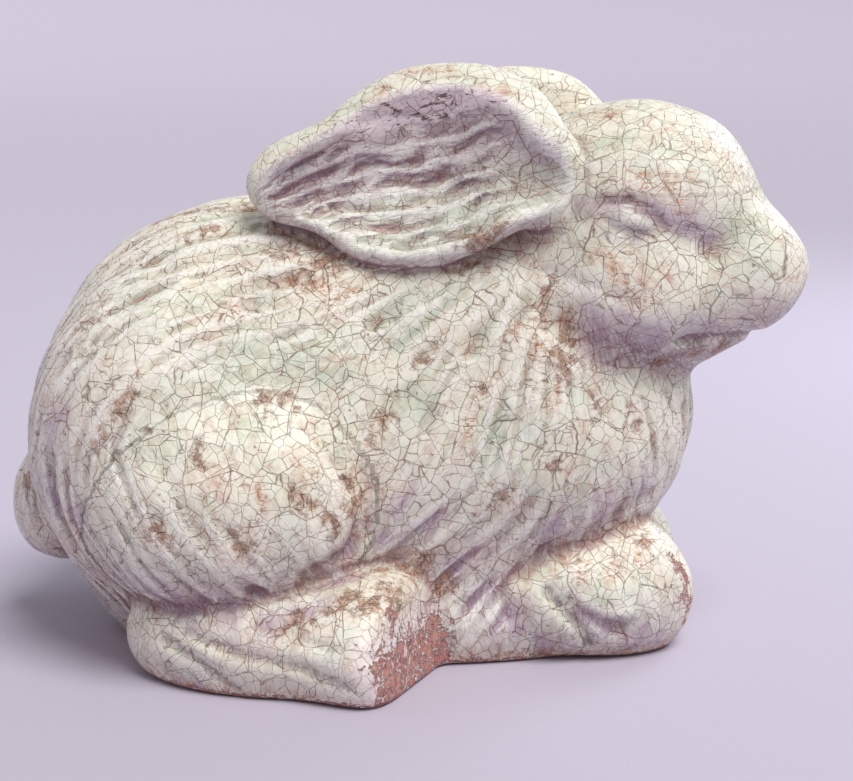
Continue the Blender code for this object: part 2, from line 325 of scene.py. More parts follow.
# Fur: gouged strokes that run back from the neck, down the back and across the haunch
fur = {
    "neckAt": (35, 112),
    "backAt": (-27, 41),
    "backFrom": (-48, -22),  # where the strokes turn from one to the other
    "haunchLie": (0.55, 0, -0.83),
    "apart": 0.82,  # the least gap between strokes, as a share of their width
    "box": ((-96, 70), (-60, 60), (4, 112)),  # where strokes may start
    "worn": {  # middle and reach in the side view, and how much of the stroke is gone
        "haunch": ((-33, 51), (23, 16), 0.97),
        "topOfHaunch": ((-31, 64), (27, 11), 0.85),
        "flank": ((-2, 72), (24, 18), 0.45),
        "belly": ((12, 38), (24, 20), 0.45),
        "chest": ((45, 58), (22, 28), 0.75),
    },
}
strokes = {  # the cut is half a groove's width, as a share of the stroke's
    "coarse": {"width": 5.4, "cut": 0.52, "depth": 1.55, "seeds": 2400, "chance": 7, "steps": 10},
    "fine": {"width": 2.8, "cut": 0.55, "depth": 0.55, "seeds": 3200, "chance": 11, "steps": 9},
}


def onHaunch(points):
    mirrored = np.stack([points[:, 0], -abs(points[:, 1]), points[:, 2]], axis=1)
    centre, radii, turn, softness = clayLumps["limbs"]["haunch"]
    return 1 - smooth(ellipsoid(mirrored, centre, radii, turn), 0.5, 3)


def lieOfFur(points):
    x, z = points[:, 0], points[:, 2]
    fromNeck = unit(np.stack([x - fur["neckAt"][0], 0 * x, z - fur["neckAt"][1]], axis=1))
    fromNeck[:, 0] -= 0.7 * (1 - smooth(z, 35, 55)) * (1 - smooth(x, 20, 40))
    roundBack = unit(np.stack([-(z - fur["backAt"][1]), 0 * x, x - fur["backAt"][0]], axis=1))
    share = smooth(x, *fur["backFrom"])[:, None]
    lie = unit(fromNeck * share + roundBack * (1 - share))
    share = onHaunch(points)[:, None]
    return unit(lie * (1 - share) + np.array(fur["haunchLie"]) * share)


def furDepth(points):
    # none on the head, ears, paws and feet, and worn thin in places
    depth = smooth(points[:, 2], 3, 9) * smooth(head(points), 1, 9)
    depth = depth * smooth(np.minimum(ear(points, "earRight"), ear(points, "earLeft")), 0.5, 4)
    for side in (-1, 1):
        arm = None
        for name in ("forearm", "wrist", "paw"):
            (cx, cy, cz), radii, (rx, ry, rz), softness = clayLumps["limbs"][name]
            lump = ellipsoid(points, (cx, cy * -side, cz), radii, (rx * -side, ry, rz * -side))
            arm = lump if arm is None else join(arm, lump, softness)
        depth = depth * smooth(np.minimum(arm, foot(points, side)), 0.3, 3)
    x, y, z = points.T
    for (centre, height), (reach, rise), share in fur["worn"].values():
        depth = depth * (1 - share * np.exp(-(((x - centre) / reach) ** 2) - ((z - height) / rise) ** 2))
    return depth * (0.9 + 0.3 * np.sin(x / 9 + z / 14) * np.sin(y / 11 - z / 8 + 1))


def furLines(kind):
    # lines over the fur at an even spacing
    spacing = kind["width"] * fur["apart"]
    chance = random.Random(kind["chance"])
    seeds = [[chance.uniform(*span) for span in fur["box"]] for each in range(kind["seeds"])]
    seeds = pulled(np.array(seeds), rabbit, 6)
    lines = [seeds]
    for way in (-1, 1):
        points = seeds
        for step in range(kind["steps"]):
            slope = unit(skinAt(points, rabbit)[1])
            lie = lieOfFur(points)
            lie = unit(lie - (lie * slope).sum(axis=1)[:, None] * slope)
            points = pulled(points + way * 2 * lie, rabbit, 1)
            lines.insert(0 if way < 0 else len(lines), points)
    lines = np.stack(lines, axis=1)
    kept = np.full((1, 3), 1e4)
    cut = []
    centre = lines.shape[1] // 2
    for line in lines:
        apart = lengths(kept)[:, None] ** 2 + lengths(line) ** 2 - 2 * kept @ line.T
        clear = apart.min(axis=0) > spacing**2
        if not clear[centre]:
            continue
        first, last = centre, centre
        while first > 0 and clear[first - 1]:
            first -= 1
        while last < len(line) - 1 and clear[last + 1]:
            last += 1
        if last - first < 6:
            continue
        line = line[first : last + 1]
        kept = np.concatenate([kept, line])
        cut.append(line)
    return cut


def scooped(points, name):
    # how deep the strokes go at each point
    kind = strokes[name]
    width = kind["width"] * kind["cut"]
    lines = furLines(kind)
    print("fur:", len(lines), name, "strokes")
    marks, depths = [], []
    hand = random.Random(3)  # no two strokes are pressed alike
    for line in lines:
        places = np.arange(0, len(line) - 1, 0.25)
        before = places.astype(int)
        share = (places - before)[:, None]
        marks.append(line[before] * (1 - share) + line[before + 1] * share)
        ends = np.minimum(places, places[-1] - places) / 4
        depths.append(kind["depth"] * max(hand.uniform(-0.2, 1.25), 0) * np.clip(ends, 0, 1))
    marks, depths = np.concatenate(marks), np.concatenate(depths)
    tree = KDTree(len(marks))
    for index, mark in enumerate(marks):
        tree.insert(mark, index)
    tree.balance()
    found = [tree.find(point) for point in points]
    near = np.array([distance for place, index, distance in found])
    deep = depths[[index for place, index, distance in found]]
    return deep * np.maximum(1 - (near / width) ** 2, 0)


# Where the glaze differs, as the potter's wash and years of handling left it, with painted shade in
# the lilac and dark spots: middle of the spot and its radius, on the right side of the finished figure
spots = {
    "rub": (
        (21, -33, 99, 2.6), (24, -35, 97, 2.0), (-50, -6, 106, 2.0), (-58, -4, 103, 1.8),
        (-43, -8, 107, 1.8), (-36, -9, 107, 1.7), (-46, -18, 101, 1.4), (-48, -18, 100, 1.4),
        (-44, -17, 102, 1.4), (-26, -25, 97, 2.2), (-21, -29, 92, 2.2), (-17, -28, 95, 2.2),
        (-14, -27, 96, 1.7), (20, -37, 103, 2.9), (22, -37, 104, 1.7), (-61, -46, 67, 2.2),
        (-30, -45, 67, 1.9), (-26, -44, 67, 1.9), (-43, -55, 56, 1.9), (-52, -56, 39, 1.9),
        (6, -39, 76, 1.7), (25, -37, 80, 1.2), (20, -41, 67, 1.2), (31, -39, 65, 1.2),
        (36, -38, 51, 1.4), (25, -39, 44, 2.2), (-9, -47, 47, 2.2), (-8, -46, 43, 2.2),
        (-10, -48, 42, 1.9), (55, -30, 60, 1.7), (60, -27, 52, 1.2), (47, -35, 65, 1.4),
        (69, -26, 75, 2.2), (61, -28, 73, 1.7), (76, -22, 76, 2.2), (-2, -50, 24, 2.4),
        (-5, -55, 23, 2.4), (1, -49, 22, 2.2), (59, -25, 28, 1.7), (25, -32, 2, 1.9), (34, -30, 1, 1.9),
        (44, -29, 1, 1.9), (54, -29, 1, 1.9), (38, -36, 75, 2.4), (40, -34, 81, 2.4),
        (34, -34, 86, 1.9), (35, -33, 92, 1.7), (-4, -42, 60, 2.4), (-21, -56, 19, 2.4),
        (-12, -53, 23, 2.4), (5, -39, 28, 2.4), (10, -36, 20, 2.4), (-34, -58, 38, 2.2),
        (-15, -51, 41, 1.9), (-21, -55, 47, 1.9), (-71, -31, 81, 1.7), (-67, -46, 58, 1.9),
        (-91, -9, 39, 1.7), (-57, -42, 19, 1.7),
    ),
    "rust": (
        (3, -23, 139, 1.9), (8, -24, 140, 1.9), (12, -25, 140, 1.9), (-4, -24, 135, 1.2),
        (21, -30, 135, 1.7), (24, -30, 135, 1.4), (42, -15, 128, 1.9), (46, -17, 129, 2.2),
        (50, -20, 129, 1.9), (39, -25, 121, 1.9), (39, -31, 110, 1.4), (56, -34, 117, 1.0),
        (57, -35, 115, 1.0), (57, -35, 113, 1.0), (60, -34, 118, 1.0), (60, -35, 116, 1.0),
        (60, -35, 114, 1.0), (60, -36, 111, 1.0), (63, -34, 116, 1.1), (63, -35, 114, 1.1),
        (64, -35, 112, 1.1), (64, -36, 110, 1.0), (66, -33, 117, 1.0), (67, -34, 115, 1.0),
        (67, -35, 112, 1.0), (67, -35, 109, 1.0), (47, -37, 98, 1.4), (49, -38, 96, 1.4),
        (50, -38, 94, 1.4), (52, -39, 91, 1.4), (54, -38, 98, 1.4), (55, -38, 95, 1.4),
        (56, -39, 93, 1.4), (57, -39, 90, 1.4), (60, -38, 97, 1.2), (61, -38, 94, 1.2),
        (44, -36, 99, 1.4), (52, -38, 99, 1.2), (46, -36, 100, 1.2), (-36, -35, 86, 1.4),
        (-35, -33, 89, 1.4), (-13, -32, 88, 2.2), (-19, -31, 90, 1.9), (-21, -53, 53, 1.9),
        (-30, -58, 48, 1.7), (17, -42, 60, 1.7), (44, -33, 24, 2.2), (51, -31, 24, 2.2),
        (39, -31, 26, 1.9), (58, -29, 25, 1.7), (32, -37, 77, 1.7), (35, -38, 66, 1.9),
        (28, -35, 82, 1.7),
    ),
    # partly a lilac wash, partly painted shade and painted bounce light, as on the foot, paw, belly and
    # lower chest
    "lilacAndShade": (
        (44, -37, 87, 2.4), (51, -38, 86, 2.4), (56, -36, 81, 4.3), (46, -34, 109, 1.9),
        (49, -34, 111, 1.9), (52, -35, 111, 1.9), (55, -36, 110, 1.9), (58, -36, 109, 2.2),
        (61, -35, 107, 2.2), (63, -35, 106, 2.2), (67, -34, 104, 2.2), (42, -32, 111, 1.9),
        (49, -36, 103, 1.2), (53, -37, 102, 1.2), (56, -36, 103, 1.2), (47, -34, 11, 1.7),
        (50, -33, 9, 1.7), (45, -34, 13, 1.4), (58, -31, 7, 2.2), (62, -28, 5, 2.2), (55, -31, 5, 1.9),
        (34, -32, 5, 1.9), (29, -34, 9, 1.9), (47, -34, 78, 3.8), (70, -31, 81, 3.4),
        (64, -35, 108, 3.4), (57, -36, 110, 2.9), (51, -35, 110, 2.9), (69, -33, 103, 2.9),
        (28, -36, 114, 3.4), (31, -26, 106, 2.9), (-56, -46, 23, 3.4), (-47, -49, 19, 3.8),
        (-37, -53, 18, 3.8), (-28, -55, 19, 3.8), (-19, -54, 21, 3.8), (-13, -46, 25, 2.9),
        (-11, -45, 32, 2.4), (-77, -39, 61, 2.9), (-81, -36, 41, 2.9), (-73, -42, 39, 2.9),
        (8, -41, 38, 3.4), (15, -37, 27, 3.4), (20, -34, 17, 3.4), (38, -34, 36, 3.4),
        (48, -30, 38, 3.4), (58, -26, 44, 2.9), (27, -34, 12, 2.9), (-45, -51, 1, 2.9),
        (1, -43, 43, 2.9), (-1, -42, 34, 2.9),
    ),
    "pale": (
        (50, -36, 107, 1.4), (53, -36, 106, 1.4), (56, -36, 105, 1.2), (35, -32, 95, 1.9),
        (37, -34, 94, 1.9), (41, -35, 92, 1.9), (44, -37, 91, 1.7), (25, -37, 79, 0.8),
        (26, -38, 75, 0.8), (47, -35, 65, 0.7), (46, -36, 62, 0.7), (46, -36, 58, 0.7),
        (45, -37, 55, 0.7), (55, -31, 63, 0.7), (55, -31, 60, 0.7), (63, -24, 65, 0.7),
        (64, -23, 61, 0.7), (65, -22, 58, 0.7), (33, -40, 62, 0.8), (32, -40, 58, 0.8),
        (19, -34, 88, 1.0), (17, -36, 84, 1.0), (38, -34, 17, 0.8), (39, -34, 15, 0.8),
        (41, -34, 14, 0.8), (43, -34, 12, 0.8), (45, -34, 10, 0.8), (43, -35, 17, 0.8),
        (46, -35, 15, 0.8), (49, -35, 14, 0.8), (52, -34, 13, 0.8), (55, -33, 16, 1.7),
        (59, -32, 17, 1.7), (61, -31, 14, 1.4), (-32, -58, 43, 0.8), (-30, -58, 40, 0.8),
        (-29, -57, 36, 0.8), (-44, -39, 82, 1.0), (-49, -41, 79, 1.0), (-36, -35, 86, 1.0),
    ),
    "green": (
        (-45, -33, 88, 3.8), (-35, -39, 80, 4.8), (-22, -38, 78, 4.8), (-39, -44, 72, 3.8),
        (-15, -40, 71, 4.8), (1, -37, 82, 4.8), (10, -34, 88, 3.8), (6, -41, 67, 4.8),
        (19, -38, 77, 3.8), (-31, -33, 88, 3.8), (51, -28, 124, 4.8), (60, -31, 122, 4.3),
        (69, -32, 118, 3.4), (79, -29, 104, 3.8), (84, -30, 95, 2.9), (55, -37, 100, 3.4),
        (37, -29, 115, 2.4), (42, -34, 102, 2.9), (74, -33, 90, 2.4), (33, -40, 57, 4.3),
        (43, -36, 46, 3.8), (24, -41, 62, 3.8), (39, -35, 14, 3.8), (48, -35, 17, 3.4),
        (58, -33, 16, 2.9), (-15, -46, 58, 3.4), (-32, -51, 62, 3.4), (17, -40, 38, 2.4),
        (1, -52, 13, 1.9), (-12, -63, 15, 2.9),
    ),
    "bare": (
        (-1, -55, 18, 1.9), (1, -52, 13, 2.4), (1, -53, 9, 2.4), (4, -45, 8, 2.4), (8, -38, 8, 2.4),
        (10, -37, 6, 1.9), (7, -42, 3, 2.2), (1, -54, 4, 2.2), (-2, -60, 3, 1.7), (-3, -61, 1, 1.4),
        (8, -38, 12, 1.7), (11, -35, 3, 1.7), (-1, -53, 20, 1.2), (69, -23, 19, 2.3),
        (70, -24, 16, 2.3), (71, -23, 12, 2.3), (70, -22, 8, 1.7), (67, -24, 23, 1.4),
    ),
    # partly dark stains and chips, partly painted shade, as along the jaw and under the ear's tip
    "darkAndShade": (
        (20, -30, 135, 0.8), (23, -31, 134, 0.9), (8, -28, 132, 0.7), (13, -29, 134, 0.7),
        (3, -28, 130, 0.7), (27, -33, 132, 0.7), (-28, -23, 111, 1.9), (-26, -26, 108, 1.7),
        (-25, -24, 110, 1.9), (42, -34, 16, 1.0), (43, -34, 14, 1.0), (43, -34, 8, 1.0),
        (45, -33, 6, 1.0), (40, -34, 7, 1.0), (66, -34, 105, 1.2), (68, -33, 104, 1.2),
        (59, -32, 76, 1.7), (62, -30, 76, 1.7), (55, -33, 77, 1.7), (71, -27, 77, 1.9),
        (79, -22, 77, 1.9), (65, -28, 74, 1.9), (44, -33, 108, 1.9), (46, -35, 106, 1.4),
        (55, -36, 109, 1.4),
    ),
}


def spotted(points, lie, name):
    # 1 in the middle of a spot and fading out, drawn out along the strokes and bent so that none is
    # round; the left side has them too, but fainter
    bend = np.sin(points[:, [1, 2, 0]] * 0.9 + 1) + 0.7 * np.sin(points[:, [2, 0, 1]] * 1.9)
    bent = points + bend * 0.7
    value = np.zeros(len(points))
    spread = skin["rubSpread"] if name == "rub" else 1
    for x, y, z, radius in spots[name]:
        for side, share in ((1, 1), (-1, skin["mirroredSpots"])):
            off = bent - (x, y * side, z)
            along = (off * lie).sum(axis=1)
            far = np.sqrt(np.maximum((off * off).sum(axis=1) - 0.75 * along * along, 0))
            far = far / (radius * spread)
            value = np.maximum(value, share * np.exp(-(far**2)))
    return value


def evaluatedMesh(obj):
    graph = bpy.context.evaluated_depsgraph_get()
    return bpy.data.meshes.new_from_object(obj.evaluated_get(graph))


def pointsOf(mesh):
    points = np.empty(len(mesh.vertices) * 3)
    mesh.vertices.foreach_get("co", points)
    return points.reshape(-1, 3) / mm + middle


def putPoints(mesh, points):
    mesh.vertices.foreach_set("co", ((points - middle) * mm).ravel())
    mesh.update()


def newObject(name, mesh, collection):
    obj = bpy.data.objects.new(name, mesh)
    collection.objects.link(obj)
    return obj


skin = {
    "grain": 1.06,  # mm from one point of the mesh to the next
    "quickGrain": 1.7,
    "mirroredSpots": 0.75,
    "rubSpread": 1.25,
    "wobble": 0.25,
}


def relaxed(values, edges, rounds):
    # averages a value with its neighbours' over the mesh
    size = len(values)
    here, there = edges.T.ravel(), edges[:, ::-1].T.ravel()
    count = np.maximum(np.bincount(here, minlength=size), 1)
    columns = values.reshape(size, -1).T.copy()
    for each in range(rounds):
        for column in columns:
            column += 0.5 * (np.bincount(here, column[there], size) / count - column)
    return columns.T.reshape(values.shape)


def writeValue(mesh, name, values):
    attribute = mesh.attributes.new(name, "FLOAT", "POINT")
    attribute.data.foreach_set("value", np.clip(values, -1, 1).astype(np.float32))


def claySkin(collection):
    # the part's own solid as one even skin
    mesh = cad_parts["rabbit_figurine"].data.copy()
    work = bmesh.new()
    work.from_mesh(mesh)
    bmesh.ops.remove_doubles(work, verts=work.verts[:], dist=1e-6)
    work.to_mesh(mesh)
    work.free()
    obj = newObject("rabbit_skin", mesh, collection)
    remesh = obj.modifiers.new("Clay", "REMESH")
    remesh.mode = "VOXEL"
    remesh.voxel_size = skin["grain"] * mm
    mesh = evaluatedMesh(obj)
    obj.modifiers.clear()
    obj.data = mesh
    print("skin:", len(mesh.vertices), "points")
    return obj


def carved(points):
    # the skin pulled on to the figure and gouged, the way it faces, and how deep the fur is
    points = pulled(points, rabbit, 3)
    depth = furDepth(points)
    coarse = scooped(points, "coarse") * depth
    fine = scooped(points, "fine") - strokes["fine"]["depth"] * 0.5
    fine = fine * smooth(depth, 0, 0.6)
    points = pulled(points, fineRabbit, 3, 1)
    normals = unit(skinAt(points, fineRabbit)[1])
    waves = np.sin(points @ (0.21, 0.17, 0.13)) * np.sin(points @ (-0.12, 0.2, 0.24) + 1)
    uneven = skin["wobble"] * waves * smooth(points[:, 2], 2, 12)
    points = points - normals * (coarse + fine + uneven)[:, None]
    points[:, 2] = np.maximum(points[:, 2], 0)
    return points, normals, depth


def markEar(points, name, masks):
    # mauve wash with painted shade in the upper half of the hollow, green glaze in the lower one,
    # painted shade on a dark wash at the tip and along the grooves, and flaked glaze under the upper
    # rim; gives where the hollow is
    local = inFrame(points, *placing[name]) * (1, -1 if name == "earLeft" else 1, 1)
    inside = (1 - smooth(clay(local, "earScoop"), 0.8, 2.2)) * (local[:, 1] < 4)
    inside = inside * (clay(local, "ear") < 3)
    across = acrossEar(local)
    upper = smooth(across, -0.2, 0.25)
    masks["lilacAndShade"] = np.maximum(masks["lilacAndShade"], inside * (0.2 + 0.5 * upper))
    masks["green"] = np.maximum(masks["green"] * (1 - inside * upper), inside * (1 - upper))
    groove = flutes(local, True) ** 1.5 * smooth(across, -0.1, 0.1) * (1 - smooth(across, 0.6, 0.75))
    tip = 1 - smooth(local[:, 0], -29, -22)
    deep = np.maximum(groove, 0.9 * tip * (1 - smooth(across, 0.2, 0.7)))
    masks["darkAndShade"] = np.maximum(masks["darkAndShade"], 0.8 * inside * deep)
    under = np.exp(-(((across - 0.82) / 0.22) ** 2)) * smooth(local[:, 0], -22, -8) * inside
    masks["flaked"] = np.maximum(masks["flaked"], under)
    masks["lilacAndShade"] = masks["lilacAndShade"] * (1 - 0.6 * under)
    return inside


def glazeMasks(points, normals, depth, edges):
    # what the material reads at each point, by name
    x, z = points[:, 0], points[:, 2]
    near = relaxed(points, edges, 6)
    wide = relaxed(near, edges, 60)
    masks = {
        "hollow": ((near - points) * normals).sum(axis=1) / 0.22,
        "crease": smooth(((wide - points) * normals).sum(axis=1), 0.1, 1.1),
        "flaked": np.zeros(len(points)),
    }
    lie = lieOfFur(points)
    for name in spots:
        masks[name] = spotted(points - middle, lie, name)
    hollows = np.maximum(markEar(points, "earRight", masks), markEar(points, "earLeft", masks))

    # the clay shows on the toes' end and the front of the paw, and in a thin line along the foot's edge
    masks["bare"] = np.maximum(masks["bare"], 0.75 * (1 - smooth(z, 0.9, 2.6)))
    masks["rust"] = np.maximum(masks["rust"], 0.8 * (1 - smooth(z, 1, 4.5)))
    for side, share in ((-1, 1), (1, 0.9)):
        end = beyondToes(points, side)
        onToes = abs(foot(points, side)) < 2.5
        bare = share * smooth(end, -3, 1) * (1 - smooth(z, 8, 19)) * onToes
        flaked = 0.5 * share * smooth(end, -5, -3) * (1 - smooth(z, 14, 20)) * onToes
        pale = 0.6 * smooth(end, -16, -7) * (1 - smooth(z, 16, 24)) * onToes
        rust = 0.35 * smooth(end, -9, -1) * onToes
        for name, values in {"bare": bare, "flaked": flaked, "pale": pale, "rust": rust}.items():
            masks[name] = np.maximum(masks[name], values)
    under = smooth(-normals[:, 2], 0.7, 0.95) * (1 - smooth(z, 0.1, 0.6))
    masks["bare"] = np.maximum(masks["bare"], under)

    # painted shade for the lilac and the dark mauve: where the skin faces down, towards the back end and
    # low down
    below = smooth(-normals[:, 2], 0, 0.8)
    behind = 0.55 * smooth(-x, 55, 88)
    low = 0.5 * (1 - smooth(z, 14, 54)) * smooth(-normals[:, 2], -0.5, 0.1)
    masks["shade"] = np.maximum(np.maximum(below, behind), low) * smooth(z, 0.5, 3)
    masks["gouged"] = relaxed(np.maximum(np.clip(depth, 0, 1), 0.9 * hollows), edges, 6)
    return masks


def layOfFur(points):
    # places that follow the strokes: across them, along them and into the clay
    x, z = points[:, 0], points[:, 2]
    (neckX, neckZ), (backX, backZ) = fur["neckAt"], fur["backAt"]
    share = smooth(x, *fur["backFrom"])
    fromNeck, neckFar = np.arctan2(neckZ - z, neckX - x), np.hypot(neckX - x, neckZ - z)
    roundBack, backFar = np.arctan2(z - backZ, -(x - backX)), np.hypot(x - backX, z - backZ)
    across = share * 75 * fromNeck + (1 - share) * (62 - backFar)
    along = share * neckFar + (1 - share) * (70 + 45 * roundBack)
    lieX, lieY, lieZ = fur["haunchLie"]
    haunch = onHaunch(points) > 0.5
    across = np.where(haunch, 200 - lieZ * x + lieX * z, across)
    along = np.where(haunch, lieX * x + lieZ * z, along)
    for name in ("earRight", "earLeft"):
        local = inFrame(points, *placing[name])
        onEar = clay(local * (1, -1 if name == "earLeft" else 1, 1), "ear") < 1.2
        across = np.where(onEar, 300 + acrossEar(local) * 20, across)
        along = np.where(onEar, local[:, 0], along)
    return np.stack([across, along, points[:, 1] * 0.9], axis=1)


def makeRabbit(collection):
    obj = claySkin(collection)
    mesh = obj.data
    points, normals, depth = carved(pointsOf(mesh))
    putPoints(mesh, points)
    edges = np.empty(len(mesh.edges) * 2, dtype=int)
    mesh.edges.foreach_get("vertices", edges)
    for name, values in glazeMasks(points, normals, depth, edges.reshape(-1, 2)).items():
        writeValue(mesh, name, values)
    lay = mesh.attributes.new("lay", "FLOAT_VECTOR", "POINT")
    lay.data.foreach_set("vector", layOfFur(points).astype(np.float32).ravel())
    mesh.shade_smooth()
    return obj


# Shader helpers
def addNode(tree, kind, values=None, **settings):
    node = tree.nodes.new(kind)
    for name, value in settings.items():
        setattr(node, name, value)
    for name, value in (values or {}).items():
        if isinstance(value, bpy.types.NodeSocket):
            tree.links.new(value, node.inputs[name])
        else:
            node.inputs[name].default_value = value
    return node


def maths(tree, operation, a, b, clamp=False):
    node = addNode(tree, "ShaderNodeMath", {0: a, 1: b}, operation=operation, use_clamp=clamp)
    return node.outputs[0]


def plus(tree, a, b, clamp=False):
    return maths(tree, "ADD", a, b, clamp)


def times(tree, a, b, clamp=False):
    return maths(tree, "MULTIPLY", a, b, clamp)


def larger(tree, a, b):
    return maths(tree, "MAXIMUM", a, b)


def vectors(tree, operation, values):
    return addNode(tree, "ShaderNodeVectorMath", values, operation=operation).outputs[0]


def mapped(tree, vector, scale, turn=(0, 0, 0)):
    values = {"Vector": vector, "Rotation": turn, "Scale": scale}
    return addNode(tree, "ShaderNodeMapping", values).outputs[0]


def ramp(tree, value, low, high, outLow=0.0, outHigh=1.0):
    values = {"Value": value, "From Min": low, "From Max": high, "To Min": outLow, "To Max": outHigh}
    return addNode(tree, "ShaderNodeMapRange", values, interpolation_type="SMOOTHSTEP").outputs["Result"]


def mixed(tree, share, a, b):
    return addNode(tree, "ShaderNodeMix", {0: share, 6: a, 7: b}, data_type="RGBA").outputs[2]


def noise(tree, vector, scale, detail=2.0, roughness=0.5, bent=0.0):
    values = {"Vector": vector, "Scale": scale, "Detail": detail, "Roughness": roughness}
    values["Distortion"] = bent
    return addNode(tree, "ShaderNodeTexNoise", values).outputs["Fac"]


def stored(tree, name, output="Fac"):
    return addNode(tree, "ShaderNodeAttribute", attribute_name=name).outputs[output]


crackle = {
    "drifts": ((0.045, 7.0), (0.3, 0.9)),  # for larger and smaller cells, and for bent lines
    "rounds": ((2.3, 1.15, 1.0), (1.0, 0.85, 0.9)),  # how large the cells, how wide and strong the lines
    "open": {"Cell": 3.3, "Width": 0.15, "Wander": 0.9},  # in mm
    "close": {"Cell": 1.9, "Width": 0.12, "Wander": 0.8},
}


def crackleGroup():
    # cracks as they part: long ones first, then shorter ones that stop at those; and a tint per cell
    tree = bpy.data.node_groups.new("crackle net", "ShaderNodeTree")
    tree.interface.new_socket("Vector", in_out="INPUT", socket_type="NodeSocketVector")
    for name in crackle["open"]:
        tree.interface.new_socket(name, in_out="INPUT", socket_type="NodeSocketFloat")
    for name in ("Line", "Tint"):
        tree.interface.new_socket(name, in_out="OUTPUT", socket_type="NodeSocketFloat")
    given = addNode(tree, "NodeGroupInput").outputs
    place = given["Vector"]
    for scale, amount in crackle["drifts"]:
        values = {"Vector": given["Vector"], "Scale": scale, "Detail": 1.0}
        drift = addNode(tree, "ShaderNodeTexNoise", values).outputs["Color"]
        drift = vectors(tree, "SUBTRACT", {0: drift, 1: (0.5, 0.5, 0.5)})
        drift = vectors(tree, "SCALE", {0: drift, "Scale": times(tree, given["Wander"], amount)})
        place = vectors(tree, "ADD", {0: place, 1: drift})
    uneven = ramp(tree, noise(tree, given["Vector"], 0.25), 0.35, 0.65, 0.7, 1.25)
    thick = times(tree, given["Width"], uneven)
    lines = []
    for size, share, strong in crackle["rounds"]:
        cell = times(tree, given["Cell"], size)
        values = {"Vector": place, "Scale": maths(tree, "DIVIDE", 1.0, cell)}
        net = addNode(tree, "ShaderNodeTexVoronoi", values, feature="DISTANCE_TO_EDGE")
        tint = addNode(tree, "ShaderNodeTexVoronoi", values, feature="F1").outputs["Color"]
        gap = times(tree, net.outputs["Distance"], cell)
        lines.append(ramp(tree, gap, 0.0, times(tree, thick, share), strong, 0.0))
        shift = vectors(tree, "SCALE", {0: tint, "Scale": 400.0})  # another net inside each cell
        place = vectors(tree, "ADD", {0: place, 1: shift})
    tint = addNode(tree, "ShaderNodeSeparateColor", {0: tint}).outputs[0]
    addNode(tree, "NodeGroupOutput", {"Line": larger(tree, *lines), "Tint": tint})
    return tree


glaze = {
    "cream": (0.895, 0.86, 0.69, 1),
    "sage": (0.57, 0.65, 0.48, 1),
    "white": (0.96, 0.93, 0.85, 1),
    "lilacAndShade": (0.43, 0.31, 0.41, 1),
    "mauveAndShade": (0.19, 0.105, 0.125, 1),
    "blush": (0.60, 0.37, 0.27, 1),
    "rust": (0.52, 0.28, 0.14, 1),
    "brown": (0.37, 0.20, 0.13, 1),
    "terracotta": (0.56, 0.22, 0.20, 1),
    "crack": (0.15, 0.075, 0.05, 1),
    "redCrack": (0.20, 0.06, 0.045, 1),
    "pink": (0.95, 0.82, 0.82, 1),
    "chip": (0.10, 0.03, 0.03, 1),
}


cover = {
    "lilacAndShade": 0.85,
    "wipedAndHighlit": 0.92,
    "mauveAndShade": 0.75,
    "rust": 1.25,
    "cracks": 0.92,
    "chips": 0.85,
}
sheen = {
    "rough": (0.47, 0.7),  # glazed, worn
    "coat": 0.16,
    "coatRough": 0.28,
    "specular": 0.38,
    "crackDepth": 0.12,
    "relief": 0.0005,
}


